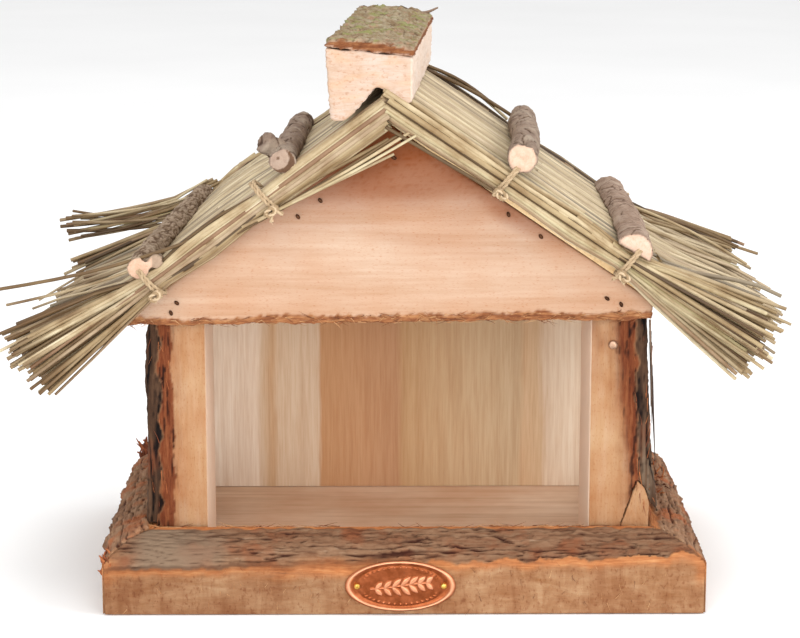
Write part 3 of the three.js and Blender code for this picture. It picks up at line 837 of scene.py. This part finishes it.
def makeStick(name, look):
    nodeName = "stick_" + name
    piece = nodeCopy(nodeName, "branch_" + name)
    frontY, backY = (corner[1] for corner in boxMm(nodeName))
    if look["stub"]:
        aside, back, raised, radius, pitchTurn, sideTurn = look["stub"]
        root = stickAt(piece, frontY + back)
        bpy.ops.mesh.primitive_cylinder_add(
            vertices=20, radius=radius * mm, depth=stickLook["stubMm"] * mm,
            rotation=(pitchTurn, sideTurn, 0),
            location=(root[0] * mm + aside * mm, (frontY + back) * mm, root[2] * mm + raised * mm))
        stub = bpy.context.object
        pickOnly(piece)
        stub.select_set(True)
        bpy.ops.object.join()
    voxelSkin(piece, stickLook["voxelMm"], 2)
    relief = {"longMm": look["long"], "wideMm": look["wide"], "furrow": look["furrow"],
              "crackMm": look["crack"], **stickLook}
    stations = [stickAt(piece, frontY + 8 + i * (backY - frontY - 16) / 6) for i in range(7)]

    def shapeAt(co, normal):
        endCut = max(smoothStep(0.6, 0.85, -normal.y) * (co.y < frontY + 4),
                     smoothStep(0.6, 0.85, normal.y) * (co.y > backY - 4))
        share = min(5.999, max(0.0, (co.y - frontY - 8) / (backY - frontY - 16) * 6))
        centre = stations[int(share)].lerp(stations[int(share) + 1], share - int(share))
        angle = math.atan2(co.x - centre.x, co.z - centre.z)
        reach = math.hypot(co.x - centre.x, co.z - centre.z)
        height, crack = barkRelief(co.y, angle * 6, relief, look["seed"])
        bump = noiseAt(co.y / 17, angle, look["seed"]) * look["bend"] * 0.5
        lobe = 0.0
        if look["lobe"]:
            near = 1 - smoothStep(4, 26, co.y - frontY)
            lobe = -look["lobe"] * near * max(0, 1 - abs(angle - 0.15) / 0.5)
        bark = 1 - endCut
        cut = smoothStep(1.3, 0.5, reach) * 0.8 * look["pith"] * endCut
        cut = max(cut, smoothStep(4.9, 5.6, reach) * look["pith"] * endCut)
        ring = smoothStep(0.5, 1.0, noiseAt(reach * 1.1, look["seed"], 0) + 0.4)
        lift = bark * (height + bump + lobe) + endCut * 0.25 * raggedAt(co / 2.5, octaves=3)
        lift = normal * lift + settled(name, co.y)
        grey = look["pith"] * 0.72 * endCut
        if look["stub"] and not look["pith"]:
            grey = 0.8 * endCut * smoothStep(3.6, 4.6, co.x - centre.x)
        return lift, {"bark": max(bark, grey), "crack": max(crack * bark, cut, 0.12 * ring * endCut),
                      "inner": 0.0}

    carve(piece, shapeAt)
    finishPiece(piece, look["material"], "stick_bark", nodeName)


for name, look in sticks.items():
    makeStick(name, look)
say("branch sticks carved")


boardHigh = boxMm("roof_board_left")[1]
ridgeX = boardHigh[0] - roof["skew"] * boardHigh[1]
ridgeZ = boardHigh[2] - roof["boardMm"] * math.cos(roof["left"]["pitch"])


def roofPlace(side, along, lift, y):
    # a place on a slope: so far down from the ridge, so far above the boards' underside, so far back
    slope = roof[side]
    c, s = math.cos(slope["pitch"]), math.sin(slope["pitch"])
    if side == "right":  # the thatch thins out towards the back
        raised = min(1.0, max(0.0, (lift - 5) / 10))
        lift -= sunk(y) * raised * (1 - 0.5 * smoothStep(130, 200, along))
    else:  # and swells between the two branches
        first, last = roof["swellDown"]
        inside = first < along < last
        swell = max(0.0, math.sin(math.pi * (along - first) / (last - first))) if inside else 0.0
        back = smoothStep(roof["swellFrom"], roof["swellTo"], y)
        lift += roof["swellMm"] * back * swell ** 0.7 * min(1.0, max(0.0, lift / 8))
    x = ridgeX + slope["sign"] * (along * c + lift * s) + roof["skew"] * y
    return Vector((x, y, ridgeZ - along * s + lift * c)) * mm


reedLook = {"thin": 0.9, "thick": 1.6, "matReeds": 520, "vergeReeds": 66, "fanReeds": 24,
            "coreVoxelMm": 2.4, "taper": 0.28, "vergeWideMm": 6.6, "vergeTallMm": 7.4,
            "pinch": 0.42, "shortMm": 9,
            "stations": (0.0, 0.16, 0.32, 0.42, 0.52, 0.64, 0.76, 0.88, 1.0)}
rng = random.Random(418)


def reedRadii(count, thickness):
    return [thickness * (1 - reedLook["taper"] * i / (count - 1)) for i in range(count)]


def matReed(side, frontY, backY):
    # one reed of a slope, from the ridge or from part way down, loose past the lower tie
    slope = roof[side]
    topward = rng.random() ** 0.55
    low, high = slope["mat"]
    base = blendValue(low, high - 1.2, topward)
    y = rng.uniform(frontY, backY)
    drift = rng.gauss(0, 3.5)
    start = rng.uniform(-2, 6) - max(base, 0) * math.tan(slope["pitch"])
    if rng.random() < 0.2:
        start = rng.uniform(20, 110)
    end = roof["reachMm"] + rng.gauss(-3, 7) - (7 * smoothStep(0, 70, y) if side == "right" else 0)
    kink = rng.gauss(0, 0.6)
    flare = rng.gauss(0.0, 1.0)
    strand = []
    thickness = rng.uniform(reedLook["thin"], reedLook["thick"])
    for share, radius in zip(reedLook["stations"], reedRadii(len(reedLook["stations"]), thickness)):
        along = blendValue(start, end, share)
        opening = smoothStep(slope["ties"][1] + 8, roof["reachMm"], along)
        lift = base + 0.6 * kink * math.sin(share * 7) + opening * (flare * 5 + (topward - 0.45) * 9)
        wander = drift * (share - 0.4) + opening * rng.gauss(0, 1.2)
        place = roofPlace(side, along, lift, min(backY + 4, max(frontY - 3, y + wander)))
        strand.append((place, radius * mm))
    return strand


def pinch(along, ties):
    # how far the bundle is drawn in by the twine near a tie
    return min(1 - reedLook["pinch"] * math.exp(-((along - tie) / 13) ** 2) for tie in ties)


def vergeMiddle(end, side):
    low, high = boxMm(f"verge_{end}_{side}")
    return (low[1] + high[1]) / 2


def vergeReed(side, middleY, facing, start, end):
    # one reed of a tied bundle, drawn in at the ties and fanned out at the eaves
    slope = roof[side]
    angle, reach = rng.uniform(0, math.tau), math.sqrt(rng.random())
    u, v = math.cos(angle) * reach, math.sin(angle) * reach
    mid, tall = slope["core"], reedLook["vergeTallMm"]
    thickness = rng.uniform(reedLook["thin"] + 0.15, reedLook["thick"])
    fanLift = rng.uniform(-1, 1) * 0.3 + v * 0.75
    fanY = u * 0.7 + rng.gauss(0, 0.3)
    bow = rng.gauss(0, 0.2)
    strand = []
    count = 9
    if start < 10:
        start -= (mid + v * tall) * math.tan(slope["pitch"]) * 0.9  # cut to meet the other slope
    for i, radius in enumerate(reedRadii(count, thickness)):
        share = i / (count - 1)
        along = blendValue(start, end, share)
        tight = pinch(along, slope["ties"])
        opening = max(0.0, (along - slope["ties"][1] - 4) / (roof["reachMm"] - slope["ties"][1] - 4))
        lift = mid + v * tall * tight + bow * math.sin(share * 6) + opening * (fanLift * 16 + slope["fan"])
        y = middleY + u * reedLook["vergeWideMm"] * tight - facing * 0.5 + opening * fanY * 7
        strand.append((roofPlace(side, along, lift, y), radius * mm))
    return strand


def strayReed(side, y, liftStart, liftEnd, start, end, sway=0.0):
    thickness = rng.uniform(0.7, 1.15)
    strand = []
    for i in range(8):
        share = i / 7
        lift = blendValue(liftStart, liftEnd, share) + sway * math.sin(share * math.pi)
        strand.append((roofPlace(side, blendValue(start, end, share), lift, y + share * 2), thickness * mm))
    return strand


def tipMarks(piece, side):
    # weathered brown on the ends of the reeds
    slope = roof[side]
    c, s = math.cos(slope["pitch"]), math.sin(slope["pitch"])
    values = []
    for vertex in piece.data.vertices:
        x = (vertex.co.x / mm - ridgeX - roof["skew"] * vertex.co.y / mm) * slope["sign"]
        z = vertex.co.z / mm - ridgeZ
        along = x * c - z * s
        worn = smoothStep(-0.3, 0.5, noise.noise(vertex.co / mm / 5))
        values.append(slope["tip"] * smoothStep(130, 200, along) * worn)
    piece.data.attributes.new("tip", "FLOAT", "POINT").data.foreach_set("value", values)


def reedPiece(name, side, strands, material, *nodes):
    piece = strandMesh(name, strands, sides=1)
    tipMarks(piece, side)
    return finishPiece(piece, material, "reed", *nodes)


# loose reeds: how far back, lift and distance down the slope at each end, and how much it bows
strays = {
    "front_left": [(-93, 10, 47, 110, 202, -3), (-92, 12, 38, 130, 203, -2),
                   (-95, 0, -8, 84, -3, -1), (-96, -1, -10, 78, -6, -1), (-95, 0, -12, 90, 2, 0),
                   (-97, -2, -13, 70, -8, -1), (-96, 1, -14, 86, 6, 0), (-94, 1, -7, 60, 4, 0)],
    "front_right": [(-96, 2, -2, 60, -4, 0)],
    "back_left": [(96 + i % 3 * 2, 11 + i % 4 * 2, 38 + (i * 7) % 15, 118 + i * 2, 196 + (i * 5) % 14, -2)
                  for i in range(18)],
    "back_right": [(60, 14, 31, 130, 201, 2), (45, 16, 27, 120, 208, 3), (70, 15, 33, 150, 214, 0),
                   (30, 14, 24, 140, 214, 1), (92, 15, 19, -2, 48, 3), (94, 15, 16.5, -4, 58, 3.5),
                   (90, 15, 20, 5, 60, 1.5)],
}
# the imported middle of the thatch: plain straw that shows only between the reeds
packedReed = fibreMaterialOf("packed reed core", (0.0, "#8d7650"), (1.0, "#8d7650"))
for side in ("left", "right"):
    core = nodeCopy("thatch_" + side, "thatch_core_" + side)
    voxelSkin(core, reedLook["coreVoxelMm"], 1)
    slopeSide = roof[side]
    downSlope = Vector((slopeSide["sign"] * math.cos(slopeSide["pitch"]), 0, -math.sin(slopeSide["pitch"])))
    upSlope = Vector((slopeSide["sign"] * math.sin(slopeSide["pitch"]), 0, math.cos(slopeSide["pitch"])))
    ridgePoint = Vector((ridgeX, 0, ridgeZ))
    # the core stops short of the eave, where only loose reeds show
    carve(core, lambda co, normal: (
        normal * (-2.6 + 0.7 * noiseAt(co.y / 1.8, co.x / 30, 0))
        - downSlope * max(0.0, (co - ridgePoint).dot(downSlope) - 150)
        - upSlope * max(0.0, (co - ridgePoint).dot(upSlope) - slopeSide["high"] + 1), {"tip": 0.5}))
    finishPiece(core, packedReed, "reed")
    matLow, matHigh = boxMm("thatch_" + side)
    mat = [matReed(side, matLow[1] + 1, matHigh[1] - 1) for _ in range(reedLook["matReeds"])]
    reedPiece("thatch_reeds_" + side, side, mat, paintedLightReedMaterial, "thatch_" + side)
    for end, facing in (("front", -1), ("back", 1)):
        middleY = vergeMiddle(end, side)
        reach = roof["reachMm"] - (reedLook["shortMm"] if (end, side) == ("back", "right") else 0)
        bundle = [vergeReed(side, middleY, facing, rng.uniform(-4, 4), reach + rng.gauss(0, 3.5))
                  for _ in range(reedLook["vergeReeds"])]
        bundle += [vergeReed(side, middleY, facing, rng.uniform(60, 150), reach + rng.gauss(-5, 6))
                   for _ in range(reedLook["fanReeds"])]
        for stray in strays[end + "_" + side]:
            bundle.append(strayReed(side, *stray))
        reedPiece(f"verge_reeds_{end}_{side}", side, bundle, reedMaterial, f"verge_{end}_{side}")
say("thatch laid")


twineLook = {"plyMm": 0.64, "turns": 2, "pitchMm": 5.0, "wideMm": 6.6, "tallMm": 9.2}


def twineStrands(path):
    # two plies laid round each other along a path of points
    strands = []
    for phase in (0.0, math.pi):
        strand = []
        run = 0.0
        for i, place in enumerate(path):
            before, after = path[max(0, i - 1)], path[min(len(path) - 1, i + 1)]
            heading = (after - before).normalized()
            run += (place - path[max(0, i - 1)]).length / mm
            sideways = heading.cross(Vector((0.3, 0.2, 1))).normalized()
            upward = heading.cross(sideways)
            turn = phase + run / twineLook["pitchMm"] * math.tau
            offset = (sideways * math.cos(turn) + upward * math.sin(turn)) * twineLook["plyMm"] * 0.75 * mm
            strand.append((place + offset, twineLook["plyMm"] * mm))
        strands.append(strand)
    return strands


def tieStrands(side, tieAt, middleY, facing):
    # turns of twine round a bundle, with a knot on its outer side
    mid = roof[side]["core"]
    strands = []
    for turnIndex in range(twineLook["turns"]):
        path = []
        shift = (turnIndex - 0.5) * 2.4
        for i in range(37):
            angle = i / 36 * math.tau
            wide, tall = twineLook["wideMm"] + 0.3 * turnIndex, twineLook["tallMm"] + rng.uniform(-0.1, 0.1)
            along = tieAt + shift + 1.3 * math.sin(angle + turnIndex)
            path.append(roofPlace(side, along, mid + 1.5 + tall * math.sin(angle),
                                  middleY + wide * math.cos(angle) * (1 + 0.12 * math.cos(2 * angle))))
        strands += twineStrands(path)
    y = middleY + facing * 7.4
    for curl in range(3):  # a knot of three small loops, with two loose tails below
        path = []
        for i in range(15):
            angle = i / 14 * math.tau
            along = tieAt + 2.6 * math.cos(angle) + curl * 0.5
            path.append(roofPlace(side, along, mid - 5.6 + 1.5 * math.sin(angle),
                                  y + facing * (curl * 0.9 - 0.6)))
        strands += twineStrands(path)
    for tail in (-1, 1):
        length = rng.uniform(2, 5)
        path = [roofPlace(side, tieAt + tail * (1 + length * 0.5 * t), mid - 6 - length * t + 1.2 * t * t,
                          y + facing * 0.6) for t in (0, 0.25, 0.5, 0.75, 1)]
        strands += twineStrands(path)
        strands.append([(path[-1], 0.2 * mm), (path[-1] + Vector((tail * 0.8, 0, -1.4)) * mm, 0.08 * mm)])
    return strands


for side in ("left", "right"):
    for end, facing in (("front", -1), ("back", 1)):
        middleY = vergeMiddle(end, side)
        for place, tieAt in zip(("upper", "lower"), roof[side]["ties"]):
            strands = tieStrands(side, tieAt, middleY, facing)
            tie = strandMesh(f"twine_{end}_{side}_{place}", strands, sides=1)
            finishPiece(tie, juteMaterial, "twine", f"tie_{end}_{side}_{place}")
say("twine tied")


fringeLook = {"gableFibres": 300, "railFaceFibres": 120, "railTopFibres": 150, "postFibres": 36}


def tuft(start, direction, length, radius, curl):
    # one thin fibre, bent by curl
    aside = Vector((rng.gauss(0, 1), rng.gauss(0, 0.5), rng.gauss(0, 1))) * curl
    points = []
    for i in range(5):
        t = i / 4
        points.append(((start + direction * length * t + aside * t * t) * mm, radius * (1 - 0.8 * t) * mm))
    return points


def fibresFrom(count, rootAt, lengths, radii, curl):
    # fibres that each start and head where rootAt says
    strands = []
    for _ in range(count):
        start, heading = rootAt()
        strands.append(tuft(Vector(start), Vector(heading).normalized(), rng.uniform(*lengths),
                            rng.uniform(*radii), curl))
    return strands


def gableRoot():
    x = rng.uniform(gableLow[0] + 4, gableHigh[0] - 4)
    z = gableFoot((x - gableLow[0]) / (gableHigh[0] - gableLow[0])) + rng.uniform(0, 4.5)
    heading = (rng.choice((-1, 1)) * rng.uniform(0.5, 1), rng.uniform(-0.25, 0.1),
               rng.uniform(-0.55, 0.25))
    return (x, gableLow[1] + rng.uniform(-0.2, 4) * (z < 144), z), heading


def railFaceRoot():
    x = rng.uniform(railLow[0] + 3, railHigh[0] - 3)
    z = rng.uniform(2, 26)
    return (x, railLow[1] - 0.1, z), (rng.gauss(0, 0.5), -0.2, rng.choice((-1, 1)))


def railTopRoot():
    x = rng.uniform(railLow[0] + 26, railHigh[0] - 26)
    heading = (rng.choice((-1, 1)), -0.2, rng.uniform(-0.1, 0.4))
    return (x, railHigh[1] - rng.uniform(0.2, 2.5), railHigh[2] - 0.2), heading


def postRootOn(side):
    low, high = boxMm("post_front_" + side)
    sign = -1 if side == "left" else 1
    out = -low[0] if side == "left" else high[0]

    def postRoot():
        z = rng.uniform(low[2] + 2, high[2] - 14)
        x = sign * (out - rng.uniform(3, 13))
        return (x, low[1] + 0.8, z), (sign * rng.uniform(-0.1, 0.35), -0.25, rng.choice((-1, 1)))

    return postRoot


def cornerShreds(patches):
    # tufts thrown round a few centres
    strands = []
    for count, centre, spread, heading, *sizes in patches:
        def patchRoot():
            start = Vector(centre) + Vector([rng.uniform(-s, s) for s in spread])
            return start, Vector(heading) + Vector([rng.gauss(0, 0.35) for _ in range(3)])

        strands += fibresFrom(count, patchRoot, *sizes)
    return strands


def fibrePiece(name, strands, material, slot):
    return finishPiece(strandMesh(name, strands, sides=0), material, slot)


gableLow, gableHigh = boxMm("gable_front")
railLow, railHigh = boxMm("rail_front")
gableFibres = fibresFrom(fringeLook["gableFibres"], gableRoot, (2, 6), (0.1, 0.24), 0.8)
fibrePiece("gable_fibres", gableFibres, bastFibreMaterial, "gable_wood")
railFibres = fibresFrom(fringeLook["railFaceFibres"], railFaceRoot, (1.5, 5), (0.08, 0.18), 0.6)
railFibres += fibresFrom(fringeLook["railTopFibres"], railTopRoot, (3, 8), (0.12, 0.3), 0.7)
fibrePiece("rail_fibres", railFibres, bastFibreMaterial, "rail_slab_wood")
for side in ("left", "right"):
    postFibres = fibresFrom(fringeLook["postFibres"], postRootOn(side), (3, 9), (0.12, 0.35), 0.8)
    fibrePiece("post_fibres_" + side, postFibres, darkBastMaterial, "post_slab_wood")
# flakes at the front left mitre, a crown of splinters at the back of the left rail, tufts on the right;
# each line: count, centre, spread, heading, lengths, radii and curl
shreds = cornerShreds((
    (46, (-148, -94, 24), (2, 5, 6), (-0.35, -0.2, 0.9), (2, 4.5), (0.6, 1.3), 0.8),
    (24, (-144, 88, 32), (3.5, 6, 1.5), (-0.2, 0, 1), (5, 11), (0.7, 1.6), 1.2),
    (10, (-149, 62, 26), (1, 5, 2), (-0.5, 0, 1), (2, 5), (0.5, 1.1), 0.8),
    (26, (137, 30, 36), (4, 40, 2), (0.3, -0.8, 0.5), (2, 5), (0.3, 0.8), 1.0)))
fibrePiece("rail_shreds", shreds, darkBastMaterial, "rail_slab_wood")
blockHigh = boxMm("ridge_block_bark")[1]
backEdge, top = blockHigh[1] - 5, blockHigh[2]
twigs = cornerShreds(((16, (-10, backEdge, top - 4), (14, 3, 1), (0.8, 0, 0.3), (3, 6), (0.5, 1.0), 2),))
for i in range(9):  # curled strips of bark along the back edge
    strip = []
    for t in range(9):
        turn = i * 1.3 + t * 0.42
        place = Vector((-26 + i * 4.2 + t * 1.5 + 1.5 * math.cos(turn),
                        backEdge + math.sin(i * 2.0 + t * 0.3), top - 2.2 + 1.6 * math.sin(turn)))
        strip.append((place * mm, (1.15 - 0.09 * t) * mm))
    twigs.append(strip)
fibrePiece("ridge_splinters", twigs, barkFibreMaterial, "mossy_bark")
splinters = []
for i in range(6):  # long thin splinters that hang down the right post's bark
    hanging = Vector((0.02 + 0.008 * i, 0, -1)).normalized()
    start = Vector((122.6 + i * 0.4, -69 + i, 143 - i * 6))
    splinters.append(tuft(start, hanging, 24 + i * 4, 0.6 + 0.1 * (i % 3), 0.8))
fibrePiece("bark_splinters", splinters, barkFibreMaterial, "post_slab_wood")
say("torn fibres made")


def nailHead(name, nodeName, material, slot, domed):
    low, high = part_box(nodeName)
    middle, size = (low + high) / 2, high - low
    bpy.ops.mesh.primitive_cylinder_add(vertices=24, radius=0.5, depth=1, location=(0, 0, 0),
                                        rotation=(math.pi / 2, 0, 0))
    piece = bpy.context.object
    piece.name = name
    bpy.ops.object.transform_apply(location=False, rotation=True, scale=False)
    piece.data.name = name
    # brads have narrow oval heads, each turned its own way
    squeeze, lean = (0.62, rng.uniform(0.3, 1.2)) if name.startswith("gable_pin") else (1.0, 0.0)
    for vertex in piece.data.vertices:
        u, v = vertex.co.x * squeeze, vertex.co.z
        u, v = u * math.cos(lean) - v * math.sin(lean), u * math.sin(lean) + v * math.cos(lean)
        vertex.co = Vector((u * size[0], vertex.co.y * size[1], v * size[2])) + middle
    applyModifier(piece, "BEVEL", width=min(size) * domed, segments=3, limit_method="ANGLE", angle_limit=0.6)
    return finishPiece(piece, material, slot, nodeName)


for side, count in (("front", 10), ("back", 4)):
    for number in range(1, count + 1):
        nailHead(f"gable_pin_{side}_{number}", f"gable_{side}_brad_{number}", steelMaterial,
                 "nail_steel", 0.2)
nailHead("post_wire_nail", "post_nail", dullNailMaterial, "nail_steel", 0.25)
for number in (1, 2):
    nailHead(f"badge_pin_{number}", f"badge_nail_{number}", brassMaterial, "nail_brass", 0.35)


badgeLook = {"gridX": 190, "gridY": 96, "rimMm": 0.55, "rimHighMm": 0.9, "reliefMm": 0.55,
             "sheetMm": 0.4, "beads": 44, "beadHighMm": 0.4, "leafMm": 7.0, "leafWideMm": 1.5,
             "leafGapMm": 4.2, "leafTurn": 0.75}


def stemHeight(x):
    # the sprig's stem lies on a gentle S
    return 1.6 * math.sin(x / 16 * math.pi / 2)


def leafHeight(x, z):
    # a sprig: a curved stem with pairs of pointed leaves
    height = 0.8 * math.exp(-((z - stemHeight(x)) / 0.45) ** 2) if abs(x) < 15 else 0.0
    for i in range(-3, 4):
        fromX = x - i * badgeLook["leafGapMm"]
        fromZ = z - stemHeight(i * badgeLook["leafGapMm"])
        for upDown in (-1, 1):
            dx, dz = math.cos(badgeLook["leafTurn"]), math.sin(badgeLook["leafTurn"]) * upDown
            u = fromX * dx + fromZ * dz
            v = -fromX * dz + fromZ * dx
            length = badgeLook["leafMm"] - abs(i) * 0.7
            if 0 < u < length:
                width = badgeLook["leafWideMm"] * math.sin(u / length * math.pi) ** 0.8
                if abs(v) < width:
                    height = max(height, (1 - (abs(v) / width) ** 2) * 0.9 + 0.25 - 0.3 * (abs(v) < 0.16))
    return height


def makeBadge():
    low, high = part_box("badge")
    middle, size = (low + high) / 2 / mm, (high - low) / mm
    bpy.ops.mesh.primitive_grid_add(x_subdivisions=badgeLook["gridX"], y_subdivisions=badgeLook["gridY"],
                                    size=2, location=(0, 0, 0))
    piece = bpy.context.object
    piece.name = "badge_plate"
    halfX, halfZ = size[0] / 2, size[2] / 2
    values = []
    for vertex in piece.data.vertices:
        u, v = vertex.co.x, vertex.co.y
        x = halfX * u * math.sqrt(1 - v * v / 2)
        z = halfZ * v * math.sqrt(1 - u * u / 2)
        inward = (1 - math.hypot(x / halfX, z / halfZ)) * halfZ
        rim = math.exp(-((inward - 0.8) / badgeLook["rimMm"]) ** 2) * badgeLook["rimHighMm"]
        groove = -0.25 * math.exp(-((inward - 2.6) / 0.5) ** 2)
        angle = math.atan2(z / halfZ, x / halfX)
        bead = badgeLook["beadHighMm"] * math.exp(-((inward - 3.4) / 0.45) ** 2)
        bead *= max(0, math.cos(angle * badgeLook["beads"])) ** 2
        relief = leafHeight(x, z) * badgeLook["reliefMm"] * smoothStep(2.8, 3.6, inward)
        dents = 0.12 * noiseAt(x / 5, z / 5, 3)
        lift = rim + groove + (bead if abs(x) < 18 else 0) + relief + dents
        values.append(min(1.0, max(0.0, lift)))
        vertex.co = Vector((middle.x + x, high[1] / mm - badgeLook["sheetMm"] - lift, middle.z + z)) * mm
    piece.data.attributes.new("raised", "FLOAT", "POINT").data.foreach_set("value", values)
    editMesh(bpy.ops.mesh.normals_make_consistent, inside=False)
    applyModifier(piece, "SOLIDIFY", thickness=badgeLook["sheetMm"] * mm, offset=-1)
    finishPiece(piece, badgeMaterialOf(), "badge_copper", "badge")


def badgeMaterialOf():
    # pressed copper sheet: raised parts rubbed bright, low parts browned
    material, tree = newMaterial("pressed copper badge")
    wear = stretchedNoise(tree, (4, 4, 4), 5.0, 0.65)
    shine = sums(tree, ("raised", 0.75), (wear, 0.5))
    colour = addNode(tree, "ValToRGB", {"Fac": shine},
                     ((0.2, "#7a3f22"), (0.45, "#a8603d"), (0.8, "#e0a17c")))
    return shadeWith(material, {**mattInputs(tree, colour, wear, 0.05, (0.3, 0.5)), "Metallic": 1.0})


makeBadge()
say("nails and badge made")


bpy.ops.mesh.primitive_plane_add(size=16, location=(0, 2, -0.0005))
ground = bpy.context.object
ground.name = "studio_floor"
groundMaterial, groundTree = newMaterial("white studio floor")  # matt paper, faintly uneven
groundNoise = stretchedNoise(groundTree, (400, 400, 400), 2.0)
groundTone = addNode(groundTree, "ValToRGB", {"Fac": groundNoise}, ((0.3, "#f7f7f7"), (0.7, "#fbfbfb")))
ground.data.materials.append(shadeWith(groundMaterial, {
    "Base Color": groundTone, "Roughness": 0.9, "Specular IOR Level": 0.1}))

# each light: place, size and power
studio = {"worldStrength": 0.88, "aim": (0, 0, 0.13), "lights": {
    "key_light": ((-0.5, -2.0, 0.75), 1.2, 22.0), "fill_light": ((0.7, -2.0, 0.3), 1.0, 15.0),
    "top_light": ((0.3, -0.2, 2.2), 2.0, 24.0), "side_light": ((1.7, -0.7, 1.0), 1.0, 12.0)}}
world = bpy.data.worlds.new("studio")
bpy.context.scene.world = world
world.use_nodes = True
world.node_tree.nodes["Background"].inputs["Color"].default_value = linearColour("#ffffff")
world.node_tree.nodes["Background"].inputs["Strength"].default_value = studio["worldStrength"]


def areaLight(name, place, size, power):
    data = bpy.data.lights.new(name, "AREA")
    data.size = size
    data.energy = power
    lamp = bpy.data.objects.new(name, data)
    lamp.location = place
    lamp.rotation_euler = (Vector(studio["aim"]) - Vector(place)).to_track_quat("-Z", "Y").to_euler()
    bpy.context.collection.objects.link(lamp)


for name, (place, size, power) in studio["lights"].items():
    areaLight(name, place, size, power)

shot = {"place": (-0.0104, -1.2735, 0.3971), "yaw": 0.40, "pitch": 11.89, "lens": 111.24}
camera = bpy.data.objects.new("camera", bpy.data.cameras.new("camera"))
camera.data.lens = shot["lens"]
camera.data.sensor_width = 36
camera.location = shot["place"]
camera.rotation_euler = (math.radians(90 - shot["pitch"]), 0, -math.radians(shot["yaw"]))
bpy.context.collection.objects.link(camera)
bpy.context.scene.camera = camera
bpy.context.scene.view_settings.view_transform = "Standard"

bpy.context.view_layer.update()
say("scene ready")
